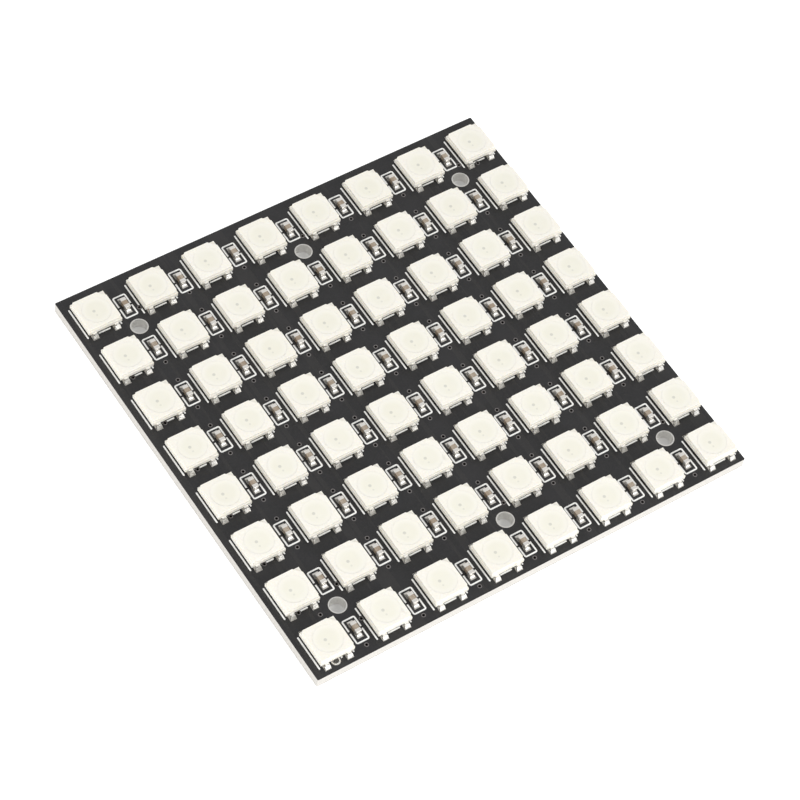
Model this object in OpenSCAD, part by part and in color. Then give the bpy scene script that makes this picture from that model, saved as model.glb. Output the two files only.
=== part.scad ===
// Rigid display panel: a rectangular circuit board that carries a square grid of surface-mounted
// colour LEDs, with a small ceramic capacitor between neighbours.
// Millimetres, +Z up. The board lies on its back at z = 0, centred on the Z axis.
// Columns count from 0 at the left (-X) and rows from 1 at the far edge (+Y).

/* [Grid] */
// Number of LED columns
columns = 8; // [2:1:12]
// Number of LED rows
rows = 8; // [2:1:8]
// Distance between LED columns
pitch_x = 8.57; // [8.3:0.1:10]
// Distance between LED rows
pitch_y = 8.15; // [8:0.1:10]
// From the left edge of the board to the first column
margin_left = 3.65; // [3:0.1:8]
// From the last column to the right edge
margin_right = 3.15; // [3:0.1:8]
// From the far edge to the first row
margin_back = 4.47; // [3.7:0.1:8]
// From the last row to the near edge
margin_front = 3.82; // [3.7:0.1:8]

/* [Board] */
// Thickness of the finished board
board_t = 1.6; // [0.8:0.2:3.2]
// Radius of the board's corners
corner_r = 0.15; // [0.1:0.05:1]
// Thickness of the solder mask on each face, and of the tinned pads set into it
mask_t = 0.03; // [0.02:0.01:0.05]
// Gap between a pad and the edge of its window in the mask
window_gap = 0.05; // [0.02:0.01:0.1]

/* [Mounting holes] */
// Diameter of the mounting holes
mount_d = 2.2; // [2:0.1:2.6]
// Width of the tinned ring round each mounting hole
mount_rim = 0.1; // [0.06:0.01:0.2]

/* [Vias and wire holes] */
// Drilled diameter of a via's barrel, inside the plating
via_d = 0.28; // [0.2:0.02:0.4]
// Thickness of the plating in the vias, wire holes and mounting holes
plating_t = 0.04; // [0.02:0.01:0.06]
// Free width that the print keeps round a via
via_keepout = 0.2; // [0.1:0.05:0.3]
// Open diameter of a wire hole
wire_d = 0.85; // [0.6:0.05:0.9]
// Diameter of the tinned ring round a wire hole
wire_ring_d = 1.2; // [1.1:0.05:1.5]
// Distance between wire holes
wire_pitch = 2.54; // [2:0.02:2.7]
// Sideways shift of the wire holes from the middle of their LED
wire_shift = -0.2; // [-0.3:0.05:0.3]

/* [LED package] */
// Width of the package at its parting line
led_size = 5.0; // [4.8:0.1:5.2]
// How much longer the package is than wide, from near to far
led_extra = 0.1; // [0:0.02:0.16]
// How far the packages sit towards the near edge from the middle of their print
led_slip = 0.05; // [0:0.01:0.08]
// Height of the moulded body
led_h = 1.6; // [1.4:0.1:1.9]
// Height of the parting line above the board
led_parting = 0.65; // [0.6:0.05:0.9]
// Depth of the upper tier
tier_h = 0.46; // [0.3:0.02:0.6]
// Width of the ledge between the two tiers
tier_ledge = 0.06; // [0.02:0.01:0.12]
// Inward slope of the underside, from the parting line to the foot
under_taper = 0.32; // [0.1:0.02:0.5]
// Cut-off corner that marks the first lead
key_corner = 1.0; // [0.6:0.1:1.1]
// Smaller cut on the corner to its left and on the one in front of it
small_corner = 0.3; // [0.1:0.05:0.4]
// Diameter of the light window
lens_d = 3.95; // [3.4:0.05:4.1]
// How much narrower the cup is at its floor, on the radius
cup_taper = 0.4; // [0.2:0.05:0.6]
// How far the resin stands below the rim
lens_sink = 0.03; // [0.01:0.01:0.1]
// Shift of the cup towards the near edge
lens_shift = 0.06; // [0:0.02:0.12]

/* [LED leads and pads] */
// Thickness of a lead, which also holds the body off the board
lead_t = 0.1; // [0.08:0.01:0.15]
// Width of a lead
lead_w = 0.6; // [0.4:0.05:0.8]
// Distance of each lead from the package's middle line
lead_x = 1.65; // [1.6:0.05:1.7]
// How far a lead stands out of the body
lead_out = 0.2; // [0.15:0.01:0.3]
// How far a lead runs inside the moulding
lead_in = 0.35; // [0.2:0.05:0.5]
// Length of the foot that curls under the body
foot_l = 0.7; // [0.5:0.05:0.9]
// Width of a pad
pad_w = 0.85; // [0.8:0.05:1.1]
// Length of a pad
pad_l = 1.35; // [1.3:0.05:1.7]
// Height of the solder against a lead
fillet_h = 0.45; // [0.2:0.05:0.5]
// Thickness of a fillet's edges
fillet_rim = 0.04; // [0.02:0.01:0.06]

/* [Chips] */
// Side of the control chip
driver_size = 0.62; // [0.4:0.02:0.8]
// Height of the control chip
driver_h = 0.15; // [0.08:0.01:0.25]
// Side of each light-emitting chip
emitter_size = 0.26; // [0.15:0.01:0.3]
// Height of each light-emitting chip
emitter_h = 0.1; // [0.06:0.01:0.2]
// Distance between the light-emitting chips
emitter_pitch = 0.6; // [0.4:0.05:0.7]

/* [Capacitors] */
// Length of a capacitor
cap_l = 1.7; // [1.4:0.1:1.8]
// Width and height of a capacitor
cap_w = 0.8; // [0.6:0.05:0.9]
// Length of each metal end
cap_end_l = 0.52; // [0.2:0.02:0.6]
// Thickness of the metal round the ceramic
cap_end_t = 0.02; // [0.01:0.01:0.04]
// Shift of the capacitors to the right of the middle between two columns
cap_shift = 0.02; // [-0.2:0.02:0.2]
// Shift of the capacitors towards the far edge from their LEDs' middle line
cap_rise = 0.02; // [0:0.02:0.1]
// Side of a capacitor's pad
cap_pad = 0.8; // [0.7:0.05:1]
// Overhang of a pad beyond the capacitor's end
cap_pad_out = 0.45; // [0.3:0.05:0.6]
// Height of the solder on a capacitor's end
cap_fillet_h = 0.45; // [0.2:0.05:0.5]

/* [Print] */
// Thickness of the white print
print_t = 0.02; // [0.01:0.01:0.04]
// Width of a printed line
line_w = 0.22; // [0.15:0.01:0.28]
// How far the print round each LED stands left of its middle
print_left = 0.07; // [0:0.01:0.1]
// Gap between the package's side and the middle of the printed line beside it
side_line_gap = 0.03; // [0:0.01:0.1]
// Length of the lines beside the package beyond its side, at each end
side_line_over = 0.07; // [0:0.01:0.2]
// Length of the short lines at the package's front and back
dash_l = 1.85; // [1:0.05:1.9]
// Distance of the short lines' middle inside the package's side
dash_inset = 0.02; // [-0.1:0.02:0.1]
// Width of a capacitor's printed box, on the line's middle
box_w = 1.78; // [1.6:0.02:2]
// Length of a capacitor's printed box, on the line's middle
box_l = 3.58; // [3.5:0.02:4]
// Radius of the box's outer corners
box_corner = 0.3; // [0.22:0.02:0.36]
// Break in each long side of the box
box_break = 0.3; // [0.1:0.05:0.5]
// Shift of the boxes towards the near edge from their capacitors' middle
box_drop = 0.1; // [0:0.01:0.12]

/* [Hidden] */
$fn = 48;
over = 1;

board_x = (columns - 1) * pitch_x + margin_left + margin_right;
board_y = (rows - 1) * pitch_y + margin_back + margin_front;
core_t = board_t - 2 * mask_t;

half = led_size / 2;
half_long = half + led_extra / 2;
tier_z = lead_t + led_h - tier_h;
led_top = lead_t + led_h;
shoulder_z = led_parting - lead_t / 2;
cup_floor = shoulder_z + lead_t;
cup_h = led_top - cup_floor;
lead_y = half_long + lead_out;
pad_end = half + pad_l / 2;
cap_pad_y = cap_l / 2 + cap_pad_out - cap_pad / 2;
wire_row = rows - 1;
mount_ring_d = mount_d + 2 * mount_rim;

// Columns and rows of the cells whose lower right corner holds a mounting hole
mount_columns = [0, floor((columns - 2) / 2), columns - 2];
mount_rows = [0, rows - 2];

function led_x(i) = -board_x / 2 + margin_left + pitch_x * i;
function led_y(j) = board_y / 2 - margin_back - pitch_y * j;
function has(list, value) = len([for (v = list) if (v == value) v]) > 0;
function cap_x(i) = led_x(i) + pitch_x / 2 + cap_shift;

// The first capacitors were placed a little off their LEDs' middle line.
first_slip = 0.3;
second_slip = 0.2;
function cap_slip(i, j) = j == 0 && i < 2 ? -first_slip : j == 1 && i == 0 ? second_slip : 0;
function cap_y(i, j) = led_y(j) + cap_rise + cap_slip(i, j);

mount_points = [for (i = mount_columns) for (j = mount_rows)
    [led_x(i) + pitch_x / 2, led_y(j) - pitch_y / 2]];

wire_points = [for (k = [-1:1])
    [led_x(0) + wire_shift, led_y(wire_row) + k * wire_pitch]];

// Vias stand above and below the capacitors, and move aside where a mounting hole takes their place.
via_right = 0.1;
via_out = 0.03;
far_via_left = 0.05;
far_via_in = 0.13;
hole_clear_x = 0.15;
hole_clear_y = 1.15;
first_clear_x = 0.3;
first_clear_y = 0.4;
edge_via_x = 0.6;
edge_via_y = 0.1;
end_via_y = 1;
end_via_x = 0.45;
end_via_drop = 2;
last_via_x = 0.5;
last_via_y = 0.3;

via_side = pitch_x / 2 + via_right;
via_along = half + via_out;
near_vias = [for (i = [0:columns - 2]) for (j = [0:rows - 1])
    if (!(has(mount_columns, i) && has(mount_rows, j)))
        [led_x(i) + via_side, led_y(j) - via_along]];
far_vias = [for (i = [0:columns - 2]) for (j = [1:rows - 2])
    if (!(has(mount_columns, i) && j == 1) && !((i == 0 || i == columns - 2) && j == rows - 2))
        [led_x(i) + via_side - far_via_left, led_y(j) + via_along - far_via_in]];
moved_vias = [for (i = mount_columns) for (j = mount_rows)
    let (first = i == 0 ? 1 : 0)
        [led_x(i) + pitch_x / 2 + mount_d / 2 + hole_clear_x + first * first_clear_x,
         led_y(j) - pitch_y / 2 + mount_d / 2 + hole_clear_y + first * first_clear_y]];
edge_vias = [for (j = [1:rows - 2]) [led_x(0) - edge_via_x, led_y(j) - half - edge_via_y]];
end_vias = [
    [led_x(0) + lead_x, led_y(rows - 2) - pad_end - end_via_y],
    [led_x(0) + pitch_x / 2 + mount_d / 2 + end_via_x,
     led_y(rows - 2) - pitch_y / 2 - mount_d / 2 - end_via_drop],
    [led_x(columns - 1) - last_via_x, led_y(0) - half - last_via_y]
];
via_points = concat(near_vias, far_vias, moved_vias, edge_vias, end_vias);

// Right half of the package's section, from the foot up
function led_section(side) = [
    [side - under_taper, lead_t],
    [side, led_parting],
    [side, tier_z],
    [side - tier_ledge, tier_z],
    [side - tier_ledge, led_top]
];

function mirrored(points) = [for (k = [len(points) - 1:-1:0]) [-points[k][0], points[k][1]]];
function whole(points) = concat(points, mirrored(points));
function arc(cx, cy, r, from, to) = [for (k = [0:4])
    let (a = from + (to - from) * k / 4) [cx + r * cos(a), cy + r * sin(a)]];

module at_leds(row) {
    for (i = [0:columns - 1])
        translate([led_x(i), led_y(row - 1) - led_slip, board_t])
            children();
}

module at_capacitors(row) {
    for (i = [0:columns - 2])
        translate([cap_x(i), cap_y(i, row - 1), board_t])
            children();
}

module at_points(points) {
    for (p = points)
        translate(p)
            children();
}

module at_both_ends() {
    for (sy = [0, 1])
        mirror([0, sy, 0])
            children();
}

module at_both_leads() {
    for (sx = [-1, 1])
        translate([sx * lead_x, 0, 0])
            children();
}

module at_lead_corners() {
    at_both_ends() at_both_leads() children();
}

// A profile drawn as distance from the middle and height, extruded along X
module along_x(length) {
    rotate([90, 0, 90])
        linear_extrude(length, center = true)
            children();
}

module along_y(length) {
    rotate([90, 0, 0])
        linear_extrude(length, center = true)
            children();
}

module board_outline() {
    x = board_x / 2;
    y = board_y / 2;
    r = corner_r;
    polygon(concat(arc(x - r, -y + r, r, -90, 0), arc(x - r, y - r, r, 0, 90),
        arc(-x + r, y - r, r, 90, 180), arc(-x + r, -y + r, r, 180, 270)));
}

// A line of the given length and width with round ends, lying along X
module stroke(length, width) {
    square([length - width, width], center = true);
    for (s = [-1, 1])
        translate([s * (length - width) / 2, 0])
            circle(d = width);
}

// Half of a printed box: a U with rounded outer corners that opens towards the box's middle
module box_half() {
    x = (box_w + line_w) / 2;
    y = (box_l + line_w) / 2;
    r = box_corner;
    from = box_break / 2;
    difference() {
        union() {
            translate([-x, from]) square([2 * x, y - r - from]);
            translate([r - x, from]) square([2 * (x - r), y - from]);
            for (sx = [-1, 1])
                translate([sx * (x - r), y - r]) circle(r);
        }
        translate([line_w - x, from - over])
            square([2 * (x - line_w), y - line_w - from + over]);
    }
}

// Section of a solder fillet: a concave arc from the pad's outer end up to the metal
module fillet_section(from, to, height) {
    r = to - from - fillet_rim;
    difference() {
        translate([from, 0]) square([to - from, height]);
        translate([to, fillet_rim + r]) circle(r);
    }
}

// Circuit board
module circuit_board() {
    color("#d9d2bd")
        translate([0, 0, mask_t])
            linear_extrude(core_t)
                difference() {
                    board_outline();
                    at_points(mount_points) circle(d = mount_d + 2 * plating_t);
                    at_points(via_points) circle(d = via_d + 2 * plating_t);
                    at_points(wire_points) circle(d = wire_d + 2 * plating_t);
                }
}

module mask_openings() {
    at_points(mount_points) circle(d = mount_ring_d + 2 * window_gap);
    at_points(via_points) circle(d = via_d + 2 * plating_t);
    at_points(wire_points) circle(d = wire_ring_d + 2 * window_gap);
}

module led_pad_shapes(gap) {
    for (i = [0:columns - 1])
        for (j = [0:rows - 1])
            translate([led_x(i), led_y(j)])
                at_lead_corners()
                    translate([0, half])
                        square([pad_w + 2 * gap, pad_l + 2 * gap], center = true);
}

module capacitor_pad_shapes(gap) {
    for (i = [0:columns - 2])
        for (j = [0:rows - 1])
            translate([cap_x(i), cap_y(i, j)])
                at_both_ends()
                    translate([0, cap_pad_y])
                        square([cap_pad + 2 * gap, cap_pad + 2 * gap], center = true);
}

// Black solder masks
module solder_mask_front() {
    color("#3a383b")
        translate([0, 0, board_t - mask_t])
            linear_extrude(mask_t)
                difference() {
                    board_outline();
                    mask_openings();
                    led_pad_shapes(window_gap);
                    capacitor_pad_shapes(window_gap);
                }
}

module solder_mask_back() {
    color("#3a383b")
        linear_extrude(mask_t)
            difference() {
                board_outline();
                mask_openings();
            }
}

// Tinned pads
module led_pads() {
    color("#c9c8c4")
        translate([0, 0, board_t - mask_t])
            linear_extrude(mask_t)
                led_pad_shapes(0);
}

module capacitor_pads() {
    color("#c9c8c4")
        translate([0, 0, board_t - mask_t])
            linear_extrude(mask_t)
                capacitor_pad_shapes(0);
}

// Plated barrels of the vias, level with the outer faces of the masks
module via_barrels() {
    color("#b98a5a")
        at_points(via_points)
            linear_extrude(board_t)
                difference() {
                    circle(d = via_d + 2 * plating_t);
                    circle(d = via_d);
                }
}

// A plated hole through the board with a tinned ring on both faces
module lined_hole(bore, ring) {
    difference() {
        union() {
            cylinder(d = ring, h = mask_t);
            cylinder(d = bore + 2 * plating_t, h = board_t);
            translate([0, 0, board_t - mask_t])
                cylinder(d = ring, h = mask_t);
        }
        translate([0, 0, -over])
            cylinder(d = bore, h = board_t + 2 * over);
    }
}

module mount_linings() {
    color("#c9c8c4")
        at_points(mount_points) lined_hole(mount_d, mount_ring_d);
}

// Three wire holes in a line under one corner LED
module wire_pads() {
    color("#c9c8c4")
        at_points(wire_points) lined_hole(wire_d, wire_ring_d);
}

// White print: a line on each side of every LED, short ones at its front and back, and a broken box
// round every capacitor. It stays clear of the vias and the wire holes.
module led_print() {
    for (s = [-1, 1]) {
        translate([s * (half + side_line_gap), 0])
            rotate(90)
                stroke(led_size + 2 * side_line_over + line_w / 2, line_w);
        translate([0, s * (half - dash_inset)])
            stroke(dash_l, line_w);
    }
}

module capacitor_print() {
    for (my = [0, 1])
        mirror([0, my])
            box_half();
}

module silkscreen_front() {
    color("#f4f3ef")
        translate([0, 0, board_t])
            difference() {
                linear_extrude(print_t) {
                    for (i = [0:columns - 1])
                        for (j = [0:rows - 1])
                            translate([led_x(i) - print_left, led_y(j)])
                                led_print();
                    for (i = [0:columns - 2])
                        for (j = [0:rows - 1])
                            translate([cap_x(i), cap_y(i, j) - box_drop])
                                capacitor_print();
                }
                translate([0, 0, -over]) {
                    at_points(concat(moved_vias, edge_vias, end_vias))
                        cylinder(d = via_d + 2 * (plating_t + via_keepout), h = 2 * over);
                    at_points(wire_points)
                        cylinder(d = wire_ring_d + 2 * via_keepout, h = 2 * over);
                }
            }
}

// White moulded LED package, cup and lead slots cut out
module cup() {
    translate([0, -lens_shift, cup_floor])
        cylinder(r1 = lens_d / 2 - cup_taper, r2 = lens_d / 2, h = cup_h);
}

// Cuts a corner of the upper tier along a line at 45 degrees, at the right far corner
module corner_cut(size) {
    e = 2 * tier_ledge;
    x = half - tier_ledge;
    y = half_long - tier_ledge;
    translate([0, 0, tier_z])
        linear_extrude(tier_h + over)
            polygon([[x - size - e, y + e], [x + e, y - size - e], [x + e, y + e]]);
}

module led_housing() {
    difference() {
        intersection() {
            along_y(led_size + over) polygon(whole(led_section(half)));
            along_x(led_size + over) polygon(whole(led_section(half_long)));
        }
        cup();
        corner_cut(key_corner);
        mirror([1, 0, 0]) corner_cut(small_corner);
        mirror([0, 1, 0]) corner_cut(small_corner);
        at_lead_corners()
            translate([-lead_w / 2, half_long - lead_in, shoulder_z])
                cube([lead_w, lead_in + over, lead_t]);
    }
}

module led_housings(row) {
    color("#f3efe4")
        at_leds(row) led_housing();
}

// Chips on the floor of the cup
module driver_shape() {
    translate([-driver_size * 0.9, -lens_shift, cup_floor])
        linear_extrude(driver_h)
            square(driver_size, center = true);
}

module emitter_shapes() {
    for (k = [-1:1])
        translate([emitter_size * 0.4, k * emitter_pitch - lens_shift, cup_floor])
            linear_extrude(emitter_h)
                square(emitter_size, center = true);
}

module driver_chips() {
    color("#4a4a52")
        for (row = [1:rows])
            at_leds(row) driver_shape();
}

module emitter_chips() {
    color("#c9b37a")
        for (row = [1:rows])
            at_leds(row) emitter_shapes();
}

// Milky resin that fills the cup round the chips
module led_lenses(row) {
    color("#eeecdb")
        at_leds(row)
            difference() {
                cup();
                driver_shape();
                emitter_shapes();
                translate([-led_size, -led_size, led_top - lens_sink])
                    cube([2 * led_size, 2 * led_size, over]);
            }
}

// Bent lead, drawn as distance from the package's middle and height
module lead_profile() {
    polygon([
        [half_long - lead_in, shoulder_z],
        [lead_y - lead_t, shoulder_z],
        [lead_y - lead_t, lead_t],
        [lead_y - foot_l, lead_t],
        [lead_y - foot_l, 0],
        [lead_y, 0],
        [lead_y, cup_floor],
        [half_long - lead_in, cup_floor]
    ]);
}

module lead() {
    along_x(lead_w) lead_profile();
}

module led_leads(row) {
    color("#d6d4cf")
        at_leds(row)
            at_lead_corners() lead();
}

// Solder in front of one foot, out to the pad's end: as wide as the pad below, and as the lead above
module lead_solder(end) {
    intersection() {
        along_x(pad_w) fillet_section(lead_y, end, fillet_h);
        along_y(2 * end + over)
            polygon(whole([[pad_w / 2, 0], [lead_w / 2, fillet_h]]));
    }
}

module led_solder(row) {
    color("#dedcd8")
        at_leds(row)
            at_both_leads() {
                lead_solder(pad_end + led_slip);
                mirror([0, 1, 0]) lead_solder(pad_end - led_slip);
            }
}

// Ceramic capacitors
module capacitor_body() {
    w = cap_w - 2 * cap_end_t;
    translate([-w / 2, -cap_l / 2 + cap_end_t, cap_end_t])
        cube([w, cap_l - 2 * cap_end_t, w]);
}

module capacitor_bodies(row) {
    color("#a8875c")
        at_capacitors(row) capacitor_body();
}

module capacitor_ends(row) {
    color("#d2d0cc")
        at_capacitors(row)
            at_both_ends()
                difference() {
                    translate([-cap_w / 2, cap_l / 2 - cap_end_l, 0])
                        cube([cap_w, cap_end_l, cap_w]);
                    capacitor_body();
                }
}

module capacitor_solder() {
    color("#dedcd8")
        for (row = [1:rows])
            at_capacitors(row)
                at_both_ends()
                    along_x(cap_w)
                        fillet_section(cap_l / 2, cap_l / 2 + cap_pad_out, cap_fillet_h);
}

circuit_board();
solder_mask_front();
solder_mask_back();
silkscreen_front();
via_barrels();
mount_linings();
wire_pads();
led_pads();
capacitor_pads();
capacitor_solder();
driver_chips();
emitter_chips();
for (r = [1:rows]) {
    led_housings(r);
    led_lenses(r);
    led_leads(r);
    led_solder(r);
    capacitor_bodies(r);
    capacitor_ends(r);
}
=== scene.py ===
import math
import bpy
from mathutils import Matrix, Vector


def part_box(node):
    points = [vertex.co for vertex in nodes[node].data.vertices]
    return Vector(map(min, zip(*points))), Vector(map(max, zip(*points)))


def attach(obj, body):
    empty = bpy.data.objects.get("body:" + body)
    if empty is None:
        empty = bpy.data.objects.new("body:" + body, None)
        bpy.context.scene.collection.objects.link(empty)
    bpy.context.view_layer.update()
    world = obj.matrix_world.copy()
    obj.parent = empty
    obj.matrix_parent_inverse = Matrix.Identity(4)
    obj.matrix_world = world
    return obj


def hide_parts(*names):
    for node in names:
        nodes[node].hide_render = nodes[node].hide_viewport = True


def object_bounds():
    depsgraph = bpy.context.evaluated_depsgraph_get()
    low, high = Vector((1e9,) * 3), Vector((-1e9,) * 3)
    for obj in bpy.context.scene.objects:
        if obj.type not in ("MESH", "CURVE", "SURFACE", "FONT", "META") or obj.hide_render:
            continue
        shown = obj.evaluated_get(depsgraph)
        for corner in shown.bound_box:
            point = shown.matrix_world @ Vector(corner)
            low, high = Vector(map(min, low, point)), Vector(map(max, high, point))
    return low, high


bl_info = {
    "name": "LED matrix panel",
    "version": (1, 0, 0),
    "blender": (4, 5, 0),
    "location": "View3D > Sidebar > LED panel",
    "description": "Dresses a rigid circuit board that carries a grid of surface-mounted colour LEDs",
    "category": "Object",
}

import bpy
from mathutils import Matrix, Vector

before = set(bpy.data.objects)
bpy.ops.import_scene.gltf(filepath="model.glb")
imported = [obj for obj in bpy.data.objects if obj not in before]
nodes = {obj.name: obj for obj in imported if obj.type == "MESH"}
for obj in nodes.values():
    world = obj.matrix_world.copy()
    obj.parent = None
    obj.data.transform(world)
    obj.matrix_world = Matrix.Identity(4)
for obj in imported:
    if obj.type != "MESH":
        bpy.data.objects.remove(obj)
cad_low, cad_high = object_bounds()

MM = 0.001
# Light that the paper floor adds by itself
GLOW = 0.4
ROWS = [row for row in range(1, 60) if f"led_housings_row_{row}" in nodes]
BOARD_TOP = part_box("solder_mask_front")[1].z


def loose_centres(node):
    """Middle of each separate solid of a CAD node, found by joining triangles that share a corner."""
    mesh = nodes[node].data
    group = {}

    def key(vertex):
        return tuple(round(c / (0.001 * MM)) for c in mesh.vertices[vertex].co)

    def top(k):
        while group[k] != k:
            group[k] = group[group[k]]
            k = group[k]
        return k

    for face in mesh.polygons:
        keys = [key(v) for v in face.vertices]
        for k in keys:
            group.setdefault(k, k)
        for k in keys[1:]:
            group[top(k)] = top(keys[0])
    boxes = {}
    for k in group:
        boxes.setdefault(top(k), []).append(k)
    centres = []
    for members in boxes.values():
        low = [min(m[a] for m in members) for a in range(3)]
        high = [max(m[a] for m in members) for a in range(3)]
        centres.append(Vector((l + h) * 0.5 * 0.001 * MM for l, h in zip(low, high)))
    return sorted(centres, key=lambda c: (round(-c.y / MM, 1), round(c.x / MM, 1)))


first_row = loose_centres("led_housings_row_1")
last_row = loose_centres(f"led_housings_row_{len(ROWS)}")
FIRST_LED = first_row[0]
PITCH_X = (first_row[-1].x - first_row[0].x) / (len(first_row) - 1)
PITCH_Y = (first_row[0].y - last_row[0].y) / (len(ROWS) - 1)
LED_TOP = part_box("led_housings_row_1")[1].z


class PanelCamera(bpy.types.PropertyGroup):
    """The photograph's view"""
    place: bpy.props.FloatVectorProperty(
        name="Place", description="Where the camera stands", unit="LENGTH", size=3,
        default=(-0.15934, -0.17684, 0.34306))
    aim: bpy.props.FloatVectorProperty(
        name="Aim", description="Point that the camera looks at", unit="LENGTH", size=3,
        default=(-0.00232, -0.00345, 0.0033))
    roll: bpy.props.FloatProperty(
        name="Roll", description="Turn of the picture about the view axis", subtype="ANGLE",
        default=math.radians(10.88))
    lens: bpy.props.FloatProperty(
        name="Lens", description="Focal length on a sensor 36 mm wide", unit="CAMERA", default=141.9)


class PanelLight(bpy.types.PropertyGroup):
    """Studio light and floor"""
    sky: bpy.props.FloatProperty(
        name="Sky", description="Strength of the even white light from all round", default=0.75, min=0)
    front: bpy.props.FloatProperty(
        name="Front light", description="Power of the large soft light at the front", unit="POWER",
        default=1.8)
    left: bpy.props.FloatProperty(
        name="Left light", description="Power of the weaker soft light at the left", unit="POWER",
        default=1.07)
    floor: bpy.props.FloatVectorProperty(
        name="Floor", description="Colour of the floor", subtype="COLOR", size=3,
        default=(0.93, 0.93, 0.93))


class PanelFinish(bpy.types.PropertyGroup):
    """Small sizes of the shapes that the finish adds"""
    package_edge: bpy.props.FloatProperty(
        name="Package edge", description="Radius of the LED package's moulded edges", unit="LENGTH",
        default=0.05 * MM)
    end_edge: bpy.props.FloatProperty(
        name="Capacitor edge", description="Radius of a capacitor end's edges", unit="LENGTH",
        default=0.07 * MM)
    solder_edge: bpy.props.FloatProperty(
        name="Solder edge", description="Radius of the rounded sides of a solder joint", unit="LENGTH",
        default=0.05 * MM)
    solder_climb: bpy.props.FloatProperty(
        name="Solder climb", description="Height to which the solder climbs a lead", unit="LENGTH",
        default=0.6 * MM)
    solder_taper: bpy.props.FloatProperty(
        name="Solder taper", description="Share by which a capacitor's solder narrows to its top",
        default=0.45, min=0, max=0.9)
    meniscus: bpy.props.FloatProperty(
        name="Meniscus", description="Width of the band in which the resin climbs to the cup's rim",
        unit="LENGTH", default=0.6 * MM)
    via_ring: bpy.props.FloatProperty(
        name="Via ring", description="Width across the raised ring round a via", unit="LENGTH",
        default=0.62 * MM)
    via_ring_width: bpy.props.FloatProperty(
        name="Via ring width", description="Width of the raised band of ink itself", unit="LENGTH",
        default=0.11 * MM)
    via_ring_height: bpy.props.FloatProperty(
        name="Via ring height", description="How far the ink stands up over a via's ring", unit="LENGTH",
        default=0.015 * MM)


def linear(code):
    """A colour written as sRGB hex, as linear values with alpha 1."""
    parts = [int(code[i:i + 2], 16) / 255 for i in (1, 3, 5)]
    return [c / 12.92 if c <= 0.04045 else ((c + 0.055) / 1.055) ** 2.4 for c in parts] + [1.0]


def add(tree, kind, sockets=None, **settings):
    """Adds a node with its settings, and gives each named socket a value or a link."""
    made = tree.nodes.new(kind)
    for name, value in settings.items():
        setattr(made, name, value)
    for name, value in (sockets or {}).items():
        if isinstance(value, bpy.types.NodeSocket):
            tree.links.new(value, made.inputs[name])
        else:
            made.inputs[name].default_value = value
    return made


def new_material(name, **shader):
    """A material with one principled shader, whose constants are set on its own sockets."""
    material = bpy.data.materials.new(name)
    material.use_nodes = True
    tree = material.node_tree
    tree.nodes.clear()
    surface = add(tree, "ShaderNodeBsdfPrincipled", {k.replace("_", " "): v for k, v in shader.items()})
    add(tree, "ShaderNodeOutputMaterial", {"Surface": surface.outputs[0]})
    place = add(tree, "ShaderNodeTexCoord").outputs["Object"]
    return material, tree, surface, place


def mixed(tree, amount, first, second):
    """Output that goes from the first colour to the second with amount."""
    return add(tree, "ShaderNodeMix", {0: amount, 6: first, 7: second}, data_type="RGBA").outputs[2]


def ramp(tree, value, low, high):
    """Output that goes smoothly from 0, where value is low, to 1, where it is high."""
    return add(tree, "ShaderNodeMapRange", {"Value": value, "From Min": low, "From Max": high},
               interpolation_type="SMOOTHSTEP").outputs[0]


def ramp_between(tree, value, low, high):
    """Output that goes evenly from low, where value is 0, to high, where it is 1."""
    return add(tree, "ShaderNodeMapRange", {"Value": value, "To Min": low, "To Max": high}).outputs[0]


def noise(tree, place, size, detail=3.0, roughness=0.55):
    """Noise whose grains are about this size, in metres."""
    return add(tree, "ShaderNodeTexNoise",
               {"Vector": place, "Scale": 1 / size, "Detail": detail, "Roughness": roughness}).outputs[0]


def maths(tree, how, *values, **settings):
    """Output of one math node."""
    return add(tree, "ShaderNodeMath", dict(enumerate(values)), operation=how, **settings).outputs[0]


def relief(tree, surface, height, depth):
    """Bump of this depth, in metres, on the shader's normal."""
    bump = add(tree, "ShaderNodeBump", {"Height": height, "Distance": depth})
    tree.links.new(bump.outputs[0], surface.inputs["Normal"])


def cell_place(tree, place):
    """Place inside one LED's cell, counted from the LED's middle, and the number of the cell."""
    apart = add(tree, "ShaderNodeSeparateXYZ", {0: place})
    from_left = maths(tree, "SUBTRACT", apart.outputs[0], FIRST_LED.x - PITCH_X / 2)
    x_steps = maths(tree, "DIVIDE", from_left, PITCH_X)
    from_far_edge = maths(tree, "SUBTRACT", FIRST_LED.y + PITCH_Y / 2, apart.outputs[1])
    y_steps = maths(tree, "DIVIDE", from_far_edge, PITCH_Y)
    x = maths(tree, "MULTIPLY", maths(tree, "SUBTRACT", maths(tree, "FRACT", x_steps), 0.5), PITCH_X)
    y = maths(tree, "MULTIPLY", maths(tree, "SUBTRACT", 0.5, maths(tree, "FRACT", y_steps)), PITCH_Y)
    inside = add(tree, "ShaderNodeCombineXYZ", {0: x, 1: y}).outputs[0]
    number = add(tree, "ShaderNodeCombineXYZ",
                 {0: maths(tree, "FLOOR", x_steps), 1: maths(tree, "FLOOR", y_steps)}).outputs[0]
    return inside, number


def chance(tree, number):
    """One random value for each cell."""
    return add(tree, "ShaderNodeTexWhiteNoise", {0: number}, noise_dimensions="2D").outputs[0]


def spot(tree, inside, x, y, size):
    """1 within a soft round spot about this size across at x, y in the cell, 0 outside."""
    apart = add(tree, "ShaderNodeVectorMath", {0: inside, 1: (x, y, 0)}, operation="DISTANCE")
    return maths(tree, "SUBTRACT", 1.0, ramp(tree, apart.outputs["Value"], size * 0.32, size * 0.62))


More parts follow.
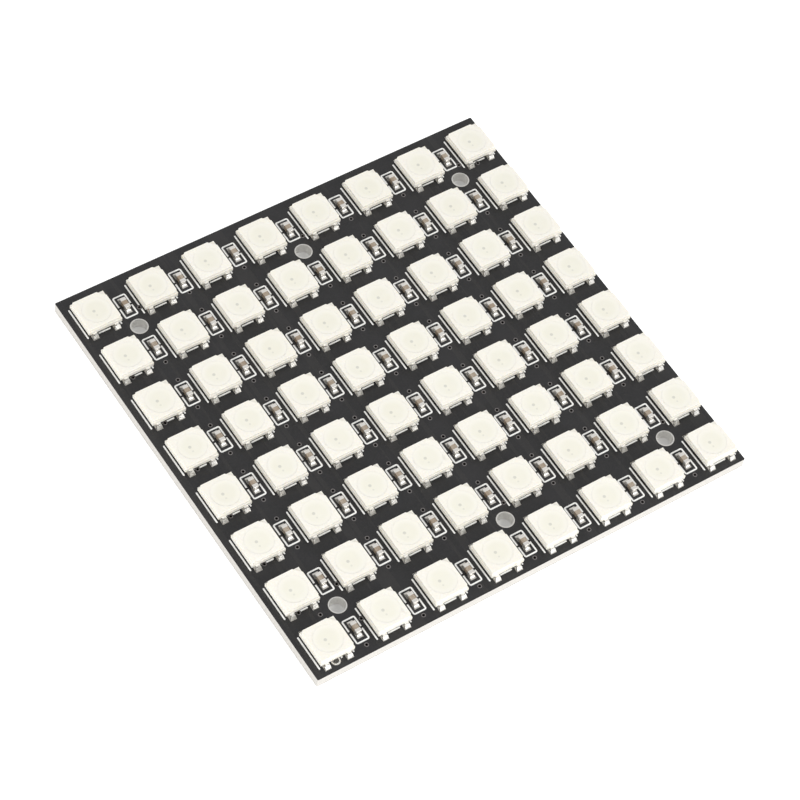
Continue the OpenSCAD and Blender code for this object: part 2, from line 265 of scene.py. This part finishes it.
def solder_mask_ink():
    """Matte black solder mask, a printed epoxy ink. It looks dark grey, with a fine orange-peel grain, soft
    cloudy patches, and a low relief over the copper tracks below it, where it is also painted a paler grey:
    a painted highlight of the light that this relief catches."""
    material, tree, surface, place = new_material("matte_black_solder_mask", IOR=1.5)
    grain = noise(tree, place, 0.22 * MM)
    clouds = noise(tree, place, 5 * MM, detail=2)
    colour = mixed(tree, ramp(tree, grain, 0.35, 0.7), linear("#171718"), linear("#222123"))
    cloudy = maths(tree, "MULTIPLY", ramp(tree, clouds, 0.4, 0.7), 0.35)
    colour = mixed(tree, cloudy, colour, linear("#2a292b"))
    # Copper tracks under the ink run from the near edge to the far one, in bands about 1 mm wide. Over them
    # the ink gets a low relief, and a paler grey that is a painted highlight of the light the relief
    # catches.
    stretch = add(tree, "ShaderNodeMapping", {"Vector": place, "Scale": (1, 0.02, 1)}).outputs[0]
    tracks_and_highlight = ramp(tree, noise(tree, stretch, 1.1 * MM, detail=1), 0.56, 0.6)
    colour = mixed(tree, maths(tree, "MULTIPLY", tracks_and_highlight, 0.28), colour, linear("#33312f"))
    tree.links.new(colour, surface.inputs["Base Color"])
    tree.links.new(ramp_between(tree, grain, 0.38, 0.52), surface.inputs["Roughness"])
    height = maths(tree, "ADD", maths(tree, "MULTIPLY", grain, 0.35), maths(tree, "MULTIPLY", tracks_and_highlight, 0.65))
    relief(tree, surface, height, 0.02 * MM)
    return material


def raised_ink():
    """The same black ink on a via's raised ring, painted a much paler grey: a painted highlight of the
    light that the raised ring catches.
    """
    material, tree, surface, place = new_material("via_ring_ink_painted_highlight", IOR=1.5, Roughness=0.4)
    grain = noise(tree, place, 0.15 * MM)
    # Painted highlight: the ring's ink is a pale grey instead of the mask's near black
    colour = mixed(tree, grain, linear("#666260"), linear("#747070"))
    tree.links.new(colour, surface.inputs["Base Color"])
    return material


def legend_ink():
    """White printed legend ink, an opaque epoxy that dries slightly uneven and a little rough."""
    material, tree, surface, place = new_material("white_legend_ink", IOR=1.5, Roughness=0.55)
    patches = noise(tree, place, 0.35 * MM)
    colour = mixed(tree, ramp(tree, patches, 0.35, 0.7), linear("#efefec"), linear("#fafaf8"))
    tree.links.new(colour, surface.inputs["Base Color"])
    relief(tree, surface, patches, 0.006 * MM)
    return material


def glass_epoxy():
    """FR-4 laminate, cut at the board's edges. The sawn glass cloth gives pale grey layers about
    0.18 mm thick."""
    material, tree, surface, place = new_material("glass_epoxy_laminate", IOR=1.55, Roughness=0.6)
    height = add(tree, "ShaderNodeSeparateXYZ", {0: place}).outputs[2]
    layers = maths(tree, "SINE", maths(tree, "MULTIPLY", height, 2 * math.pi / (0.18 * MM)))
    fibres = noise(tree, place, 0.12 * MM, detail=4)
    grain = maths(tree, "ADD", maths(tree, "MULTIPLY", layers, 0.12), fibres)
    colour = mixed(tree, ramp(tree, grain, 0.3, 0.75), linear("#bdb9b2"), linear("#d2cfca"))
    tree.links.new(colour, surface.inputs["Base Color"])
    relief(tree, surface, grain, 0.02 * MM)
    return material


def tinned_copper():
    """Hot-air levelled tin on copper pads: bright satin metal that lies in slightly uneven pools."""
    material, tree, surface, place = new_material("tinned_copper_pads", Metallic=1.0)
    pools = noise(tree, place, 0.4 * MM, detail=2)
    colour = mixed(tree, pools, linear("#e2e0dc"), linear("#f8f7f4"))
    tree.links.new(colour, surface.inputs["Base Color"])
    tree.links.new(ramp_between(tree, pools, 0.3, 0.5), surface.inputs["Roughness"])
    relief(tree, surface, pools, 0.02 * MM)
    return material


def reflowed_solder():
    """Tin solder after the oven: bright, slightly frosted metal with small dimples."""
    material, tree, surface, place = new_material("reflowed_tin_solder", Metallic=1.0)
    frost = noise(tree, place, 0.18 * MM, detail=3)
    colour = mixed(tree, frost, linear("#cfcdc8"), linear("#f0eee9"))
    tree.links.new(colour, surface.inputs["Base Color"])
    tree.links.new(ramp_between(tree, frost, 0.28, 0.5), surface.inputs["Roughness"])
    relief(tree, surface, frost, 0.03 * MM)
    return material


def plated_barrel():
    """Plated copper in the vias, dulled by the ink that ran into them, so it looks nearly black."""
    material, tree, surface, place = new_material("inked_copper_barrels", Metallic=0.6, Roughness=0.5)
    stain = noise(tree, place, 0.15 * MM)
    colour = mixed(tree, ramp(tree, stain, 0.4, 0.6), linear("#0b0908"), linear("#1c1613"))
    tree.links.new(colour, surface.inputs["Base Color"])
    return material


def moulded_package():
    """White polyphthalamide, injection moulded. It is a slightly cream, opaque plastic with a fine
    matt skin, and lets a little light through its edges."""
    material, tree, surface, place = new_material(
        "white_moulded_package", IOR=1.5, Subsurface_Weight=0.12, Subsurface_Scale=0.4 * MM,
        Subsurface_Radius=(1.0, 0.85, 0.6))
    number = cell_place(tree, place)[1]
    skin = noise(tree, place, 0.3 * MM)
    batch = chance(tree, number)
    colour = mixed(tree, ramp(tree, skin, 0.3, 0.75), linear("#efebe0"), linear("#f5f2ea"))
    colour = mixed(tree, maths(tree, "MULTIPLY", batch, 0.4), colour, linear("#ede9dd"))
    tree.links.new(colour, surface.inputs["Base Color"])
    tree.links.new(ramp_between(tree, skin, 0.42, 0.55), surface.inputs["Roughness"])
    relief(tree, surface, skin, 0.006 * MM)
    return material


def milky_silicone():
    """Diffusing silicone resin in the LED's cup. It is nearly as pale as the package, a little greener
    in the middle, and takes the package's colour at the cup's edge, where it is thin. The control chip
    and one emitter show through it as faint grey spots."""
    material, tree, surface, place = new_material(
        "milky_silicone_resin", IOR=1.42, Roughness=0.32, Coat_Weight=0.2, Coat_Roughness=0.2,
        Subsurface_Weight=0.1, Subsurface_Scale=0.5 * MM, Subsurface_Radius=(1.0, 0.95, 0.7))
    inside, number = cell_place(tree, place)
    body = noise(tree, place, 1.2 * MM, detail=2)
    colour = mixed(tree, body, linear("#e9e6d8"), linear("#eeece0"))
    colour = mixed(tree, maths(tree, "MULTIPLY", chance(tree, number), 0.35), colour, linear("#e8e5d6"))
    thick = spot(tree, inside, 0, -0.06 * MM, 3.15 * MM)
    colour = mixed(tree, maths(tree, "SUBTRACT", 1.0, thick), colour, linear("#f1eee3"))
    chip = spot(tree, inside, -0.37 * MM, -0.05 * MM, 0.46 * MM)
    emitter = spot(tree, inside, -0.31 * MM, -0.79 * MM, 0.3 * MM)
    colour = mixed(tree, maths(tree, "MULTIPLY", chip, 0.42), colour, linear("#a9aaa6"))
    colour = mixed(tree, maths(tree, "MULTIPLY", emitter, 0.25), colour, linear("#b5b4ae"))
    tree.links.new(colour, surface.inputs["Base Color"])
    relief(tree, surface, body, 0.01 * MM)
    return material


def plated_leadframe():
    """Stamped copper strip with a matt silver plating, bright on its bends."""
    material, tree, surface, place = new_material("silver_plated_leads", Metallic=1.0)
    stamped = noise(tree, place, 0.2 * MM)
    colour = mixed(tree, stamped, linear("#f2f0ec"), linear("#fefdfb"))
    tree.links.new(colour, surface.inputs["Base Color"])
    tree.links.new(ramp_between(tree, stamped, 0.35, 0.55), surface.inputs["Roughness"])
    return material


def fired_ceramic():
    """Fired barium titanate: a greyish tan capacitor body with a fine dull grain, each a little
    different in tone."""
    material, tree, surface, place = new_material("fired_capacitor_ceramic", IOR=1.6)
    number = cell_place(tree, place)[1]
    grain = noise(tree, place, 0.12 * MM, detail=4)
    colour = mixed(tree, ramp(tree, grain, 0.3, 0.7), linear("#988875"), linear("#b9afa1"))
    colour = mixed(tree, maths(tree, "MULTIPLY", chance(tree, number), 0.5), colour, linear("#826a50"))
    tree.links.new(colour, surface.inputs["Base Color"])
    tree.links.new(ramp_between(tree, grain, 0.45, 0.65), surface.inputs["Roughness"])
    relief(tree, surface, grain, 0.01 * MM)
    return material


def tinned_end():
    """Plated tin on the capacitor's ends, a satin grey metal."""
    material, tree, surface, place = new_material("tinned_capacitor_ends", Metallic=1.0)
    grain = noise(tree, place, 0.1 * MM)
    colour = mixed(tree, grain, linear("#e4e1db"), linear("#fbf8f3"))
    tree.links.new(colour, surface.inputs["Base Color"])
    tree.links.new(ramp_between(tree, grain, 0.35, 0.5), surface.inputs["Roughness"])
    relief(tree, surface, grain, 0.01 * MM)
    return material


def silicon_die():
    """Polished silicon with a faint blue oxide."""
    material, tree, surface, place = new_material("silicon_die", IOR=2.5, Roughness=0.2)
    fields = add(tree, "ShaderNodeTexVoronoi", {"Vector": place, "Scale": 1 / (0.09 * MM)}).outputs["Color"]
    colour = mixed(tree, fields, linear("#3c3f49"), linear("#5b5f6c"))
    tree.links.new(colour, surface.inputs["Base Color"])
    return material


def emitter_die():
    """Light-emitting chip on sapphire, a pale golden square."""
    material, tree, surface, place = new_material("emitter_die", IOR=1.77, Roughness=0.3)
    shade = noise(tree, place, 0.1 * MM)
    tree.links.new(mixed(tree, shade, linear("#b79c55"), linear("#dcc88a")), surface.inputs["Base Color"])
    return material


def white_sweep(colour):
    """Matt white paper that glows by itself, so that it is burnt out to white, but not under the board:
    there it has no glow and a darker grey, painted shade under the board that shows through the holes."""
    material, tree, surface, place = new_material(
        "white_paper_sweep", Roughness=0.9, Emission_Color=(1, 1, 1, 1))
    shaded_paper = linear("#dededd")
    soft_edge = 0.5 * MM
    fibres = noise(tree, place, 3 * MM)
    apart = add(tree, "ShaderNodeSeparateXYZ", {0: place})
    beyond = [maths(tree, "SUBTRACT", maths(tree, "ABSOLUTE", apart.outputs[axis]), cad_high[axis])
              for axis in (0, 1)]
    # Painted shade: under the board the paper loses its glow and takes the darker shaded_paper grey
    open_floor = ramp(tree, maths(tree, "MAXIMUM", *beyond), -soft_edge, 0.0)
    tree.links.new(maths(tree, "MULTIPLY", open_floor, GLOW), surface.inputs["Emission Strength"])
    paper = mixed(tree, fibres, [*colour, 1], [min(1, c * 1.02) for c in colour] + [1])
    tree.links.new(mixed(tree, open_floor, shaded_paper, paper), surface.inputs["Base Color"])
    return material


def dress(node, material):
    """Gives a CAD node this material in its own slots."""
    shown = nodes[node]
    if not shown.material_slots:
        shown.data.materials.append(material)
    for slot in shown.material_slots:
        slot.material = material


def select_only(thing):
    """Makes this the one selected and active object."""
    bpy.ops.object.select_all(action="DESELECT")
    thing.select_set(True)
    bpy.context.view_layer.objects.active = thing


def merged_copy(node, name):
    """A copy of a CAD node with its triangles joined into flat faces, ready to be shaped."""
    piece = bpy.data.objects.new(name, nodes[node].data.copy())
    bpy.context.scene.collection.objects.link(piece)
    select_only(piece)
    bpy.ops.object.mode_set(mode="EDIT")
    bpy.ops.mesh.select_all(action="SELECT")
    bpy.ops.mesh.remove_doubles(threshold=0.001 * MM)
    bpy.ops.mesh.dissolve_limited(angle_limit=math.radians(1))
    bpy.ops.object.mode_set(mode="OBJECT")
    return piece


def bevel_sharp(piece, radius, chosen, segments=4):
    """Rounds the sharp edges for which chosen(middle, first, second) is true."""
    select_only(piece)
    bpy.context.tool_settings.mesh_select_mode = (False, True, False)
    bpy.ops.object.mode_set(mode="EDIT")
    bpy.ops.mesh.select_all(action="DESELECT")
    bpy.ops.mesh.edges_select_sharp(sharpness=math.radians(30))
    bpy.ops.object.mode_set(mode="OBJECT")
    mesh = piece.data
    for edge in mesh.edges:
        if edge.select:
            first, second = (mesh.vertices[v].co for v in edge.vertices)
            edge.select = chosen((first + second) / 2, first, second)
    for vertex in mesh.vertices:
        vertex.select = False
    for edge in mesh.edges:
        for v in edge.vertices:
            if edge.select:
                mesh.vertices[v].select = True
    for face in mesh.polygons:
        face.select = False
    bpy.ops.object.mode_set(mode="EDIT")
    bpy.ops.mesh.bevel(offset=radius, segments=segments, profile=0.5, clamp_overlap=True)
    bpy.ops.object.mode_set(mode="OBJECT")


def finish_piece(piece, material, slot, *replaced):
    """Gives the piece its finish, shades it, and lets it ride with the board in place of the CAD nodes."""
    piece.data.materials.clear()
    piece.data.materials.append(material)
    select_only(piece)
    bpy.ops.object.shade_smooth_by_angle(angle=math.radians(28))
    bpy.ops.object.modifier_add(type="WEIGHTED_NORMAL")
    flatten = piece.modifiers[-1]
    flatten.keep_sharp = True
    bpy.ops.object.modifier_apply(modifier=flatten.name)
    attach(piece, "root")
    if replaced:
        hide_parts(*replaced)


def cell_offset(point):
    """Place of a point from the middle of the LED in whose cell it lies."""
    x = (point.x - FIRST_LED.x + PITCH_X / 2) % PITCH_X - PITCH_X / 2
    y = (point.y - FIRST_LED.y + PITCH_Y / 2) % PITCH_Y - PITCH_Y / 2
    return x, y


class PANEL_OT_board(bpy.types.Operator):
    """Gives the board, its masks, its print and its pads their finishes"""
    bl_idname = "ledpanel.board"
    bl_label = "Circuit board"

    def execute(self, context):
        ink = solder_mask_ink()
        dress("circuit_board", glass_epoxy())
        dress("solder_mask_front", ink)
        dress("solder_mask_back", ink)
        dress("silkscreen_front", legend_ink())
        tin = tinned_copper()
        for node in ("led_pads", "capacitor_pads", "wire_pads", "mount_linings"):
            dress(node, tin)
        dress("via_barrels", plated_barrel())
        return {"FINISHED"}


class PANEL_OT_via_rings(bpy.types.Operator):
    """Adds the raised ring of ink over the copper round each via"""
    bl_idname = "ledpanel.via_rings"
    bl_label = "Via rings"

    def execute(self, context):
        finish = context.scene.panel_finish
        centres = loose_centres("via_barrels")
        band = finish.via_ring_width / 2
        bpy.ops.object.select_all(action="DESELECT")
        bpy.ops.mesh.primitive_torus_add(major_segments=16, minor_segments=6, minor_radius=band,
                                         major_radius=finish.via_ring / 2 - band)
        ring = context.object
        ring.name = "via_rings"
        bpy.ops.object.mode_set(mode="EDIT")
        bpy.ops.mesh.select_all(action="SELECT")
        bpy.ops.transform.resize(value=(1, 1, finish.via_ring_height / band), center_override=(0, 0, 0))
        bpy.ops.transform.translate(value=(0, 0, BOARD_TOP))
        bpy.ops.object.mode_set(mode="OBJECT")
        copies = [ring]
        for centre in centres[1:]:
            copy = bpy.data.objects.new("via_ring_copy", ring.data.copy())
            context.scene.collection.objects.link(copy)
            copy.data.transform(Matrix.Translation((centre.x, centre.y, 0)))
            copies.append(copy)
        ring.data.transform(Matrix.Translation((centres[0].x, centres[0].y, 0)))
        select_only(ring)
        for copy in copies:
            copy.select_set(True)
        bpy.ops.object.join()
        finish_piece(ring, raised_ink(), "solder_mask")
        return {"FINISHED"}


class PANEL_OT_packages(bpy.types.Operator):
    """Rounds the moulded edges of the LED packages, row by row"""
    bl_idname = "ledpanel.packages"
    bl_label = "LED packages"

    def execute(self, context):
        radius = context.scene.panel_finish.package_edge
        material = moulded_package()
        # Depth of the package's upper tier, and how far from the LED's middle its outer edges begin
        upper_tier, side_reach, corner_reach = 0.46 * MM, 2.2 * MM, 3.6 * MM
        for row in ROWS:
            node = f"led_housings_row_{row}"
            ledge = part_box(node)[1].z - upper_tier
            piece = merged_copy(node, f"led_packages_row_{row}")

            def upper_rim(middle, first, second):
                x, y = cell_offset(middle)
                outside = max(abs(x), abs(y)) > side_reach or abs(x) + abs(y) > corner_reach
                above = min(first.z, second.z) > ledge - 0.01 * MM and middle.z > ledge + 0.05 * MM
                return above and outside

            bevel_sharp(piece, radius, upper_rim)
            finish_piece(piece, material, "package_plastic", node)
        return {"FINISHED"}


class PANEL_OT_light_windows(bpy.types.Operator):
    """Lets the resin climb to the rim of each cup, and dresses the chips below it"""
    bl_idname = "ledpanel.light_windows"
    bl_label = "Resin and chips"

    def execute(self, context):
        meniscus = context.scene.panel_finish.meniscus
        resin = milky_silicone()
        for row in ROWS:
            node = f"led_lenses_row_{row}"
            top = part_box(node)[1].z
            piece = merged_copy(node, f"led_windows_row_{row}")
            for face in piece.data.polygons:
                face.select = face.normal.z > 0.9 and face.center.z > top - 0.01 * MM
            context.tool_settings.mesh_select_mode = (False, False, True)
            bpy.ops.object.mode_set(mode="EDIT")
            bpy.ops.transform.translate(value=(0, 0, LED_TOP - top))
            bpy.ops.mesh.inset(thickness=meniscus)
            bpy.ops.transform.translate(value=(0, 0, top - LED_TOP))
            bpy.ops.object.mode_set(mode="OBJECT")
            finish_piece(piece, resin, "milky_resin", node)
        dress("driver_chips", silicon_die())
        dress("emitter_chips", emitter_die())
        return {"FINISHED"}


def climb_leads(piece, height):
    """Draws each lead's solder up to this height, in a slope that starts low at its tip and steepens."""
    tip_height, steepening = 0.04 * MM, 1.1
    offsets = [cell_offset(vertex.co)[1] for vertex in piece.data.vertices]
    reach = {side: [abs(y) for y in offsets if (y > 0) == side] for side in (True, False)}
    for vertex, y in zip(piece.data.vertices, offsets):
        foot, tip = min(reach[y > 0]), max(reach[y > 0])
        if vertex.co.z > BOARD_TOP + tip_height / 2:
            share = ((tip - abs(y)) / (tip - foot)) ** steepening
            vertex.co.z = BOARD_TOP + tip_height + (height - tip_height) * share


def narrow_tops(piece, centres, share):
    """Narrows each capacitor's solder by this share towards its top."""
    height = max(vertex.co.z for vertex in piece.data.vertices) - BOARD_TOP
    for vertex in piece.data.vertices:
        middle = min(centres, key=lambda c: (c - vertex.co).length).x
        vertex.co.x += (middle - vertex.co.x) * share * (vertex.co.z - BOARD_TOP) / height


class PANEL_OT_joints(bpy.types.Operator):
    """Shapes the solder of every lead and capacitor, and dresses the leads"""
    bl_idname = "ledpanel.joints"
    bl_label = "Leads and solder"

    def execute(self, context):
        finish = context.scene.panel_finish
        leads, solder = plated_leadframe(), reflowed_solder()

        def sloped(middle, first, second):
            rise, run = abs(first.z - second.z), abs(first.y - second.y)
            return rise > 0.001 * MM and run > 0.001 * MM

        for row in ROWS:
            dress(f"led_leads_row_{row}", leads)
            node = f"led_solder_row_{row}"
            piece = merged_copy(node, f"led_fillets_row_{row}")
            climb_leads(piece, finish.solder_climb)
            bevel_sharp(piece, finish.solder_edge, sloped)
            finish_piece(piece, solder, "solder", node)

        piece = merged_copy("capacitor_solder", "capacitor_fillets")
        narrow_tops(piece, loose_centres("capacitor_solder"), finish.solder_taper)
        bevel_sharp(piece, finish.solder_edge, sloped)
        finish_piece(piece, solder, "solder", "capacitor_solder")
        return {"FINISHED"}


class PANEL_OT_capacitors(bpy.types.Operator):
    """Gives the capacitors their ceramic, and rounds their tinned ends"""
    bl_idname = "ledpanel.capacitors"
    bl_label = "Capacitors"

    def execute(self, context):
        radius = context.scene.panel_finish.end_edge
        ceramic, tin = fired_ceramic(), tinned_end()
        # An end is rounded this far out from its middle, and from this height over the board
        outer_part, foot_height = 0.15 * MM, 0.1 * MM
        for row in ROWS:
            dress(f"capacitor_bodies_row_{row}", ceramic)
            node = f"capacitor_ends_row_{row}"
            piece = merged_copy(node, f"capacitor_caps_row_{row}")
            centres = loose_centres(node)

            def body_y(end):
                mates = [other for other in centres if abs(other.x - end.x) < 0.1 * MM]
                return sum(other.y for other in mates) / len(mates)

            def outer(middle, first, second):
                end = min(centres, key=lambda centre: (centre - middle).length)
                side = 1 if end.y > body_y(end) else -1
                return (middle.y - end.y) * side > outer_part and middle.z > BOARD_TOP + foot_height

            bevel_sharp(piece, radius, outer)
            finish_piece(piece, tin, "tinned_end", node)
        return {"FINISHED"}


class PANEL_OT_stage(bpy.types.Operator):
    """Adds the floor, the soft lights and the camera"""
    bl_idname = "ledpanel.stage"
    bl_label = "Stage"

    def execute(self, context):
        scene = context.scene
        light = scene.panel_light
        bpy.ops.object.select_all(action="DESELECT")
        bpy.ops.mesh.primitive_plane_add(size=6, location=(0, 0, -0.02 * MM))
        floor = context.object
        floor.name = "paper_floor"
        bpy.ops.object.transform_apply(location=True)
        floor.data.materials.append(white_sweep(light.floor))

        world = bpy.data.worlds.new("white_room")
        world.use_nodes = True
        world.node_tree.nodes["Background"].inputs["Color"].default_value = (1, 1, 1, 1)
        world.node_tree.nodes["Background"].inputs["Strength"].default_value = light.sky
        scene.world = world

        self.soft_light(context, "front_softbox", light.front, (0.12, -0.50, 0.30), 0.35)
        self.soft_light(context, "left_softbox", light.left, (-0.52, -0.10, 0.30), 0.35)

        view = scene.panel_camera
        camera = bpy.data.objects.new("camera", bpy.data.cameras.new("camera"))
        scene.collection.objects.link(camera)
        camera.data.sensor_width = 36
        camera.data.lens = view.lens
        camera.data.clip_start = 0.01
        place = Vector(view.place)
        direction = (Vector(view.aim) - place).normalized()
        turn = direction.to_track_quat("-Z", "Y").to_matrix() @ Matrix.Rotation(view.roll, 3, "Z")
        camera.matrix_world = Matrix.Translation(place) @ turn.to_4x4()
        scene.camera = camera
        scene.view_settings.view_transform = "Standard"
        return {"FINISHED"}

    def soft_light(self, context, name, power, place, size):
        """A square area light at this place, aimed at the board."""
        lamp = bpy.data.lights.new(name, "AREA")
        lamp.energy = power
        lamp.size = size
        thing = bpy.data.objects.new(name, lamp)
        context.scene.collection.objects.link(thing)
        thing.location = place
        thing.rotation_euler = Vector(place).to_track_quat("Z", "Y").to_euler()


class PANEL_PT_sidebar(bpy.types.Panel):
    """Lists the panel's operators and sizes"""
    bl_idname = "PANEL_PT_sidebar"
    bl_label = "LED panel"
    bl_space_type = "VIEW_3D"
    bl_region_type = "UI"
    bl_category = "LED panel"

    def draw(self, context):
        for operator in OPERATORS:
            self.layout.operator(operator.bl_idname)
        for group in ("panel_camera", "panel_light", "panel_finish"):
            values = getattr(context.scene, group)
            for name in values.bl_rna.properties.keys():
                if name not in ("rna_type", "name"):
                    self.layout.prop(values, name)


GROUPS = {"panel_camera": PanelCamera, "panel_light": PanelLight, "panel_finish": PanelFinish}
OPERATORS = (PANEL_OT_board, PANEL_OT_via_rings, PANEL_OT_packages, PANEL_OT_light_windows,
             PANEL_OT_joints, PANEL_OT_capacitors, PANEL_OT_stage)
CLASSES = (*GROUPS.values(), *OPERATORS, PANEL_PT_sidebar)


def register():
    for cls in CLASSES:
        bpy.utils.register_class(cls)
    for name, group in GROUPS.items():
        setattr(bpy.types.Scene, name, bpy.props.PointerProperty(type=group))


def unregister():
    for name in GROUPS:
        delattr(bpy.types.Scene, name)
    for cls in reversed(CLASSES):
        bpy.utils.unregister_class(cls)


def main():
    register()
    bpy.ops.ledpanel.board()
    bpy.ops.ledpanel.via_rings()
    bpy.ops.ledpanel.packages()
    bpy.ops.ledpanel.light_windows()
    bpy.ops.ledpanel.joints()
    bpy.ops.ledpanel.capacitors()
    bpy.ops.ledpanel.stage()


if __name__ == "__main__":
    main()
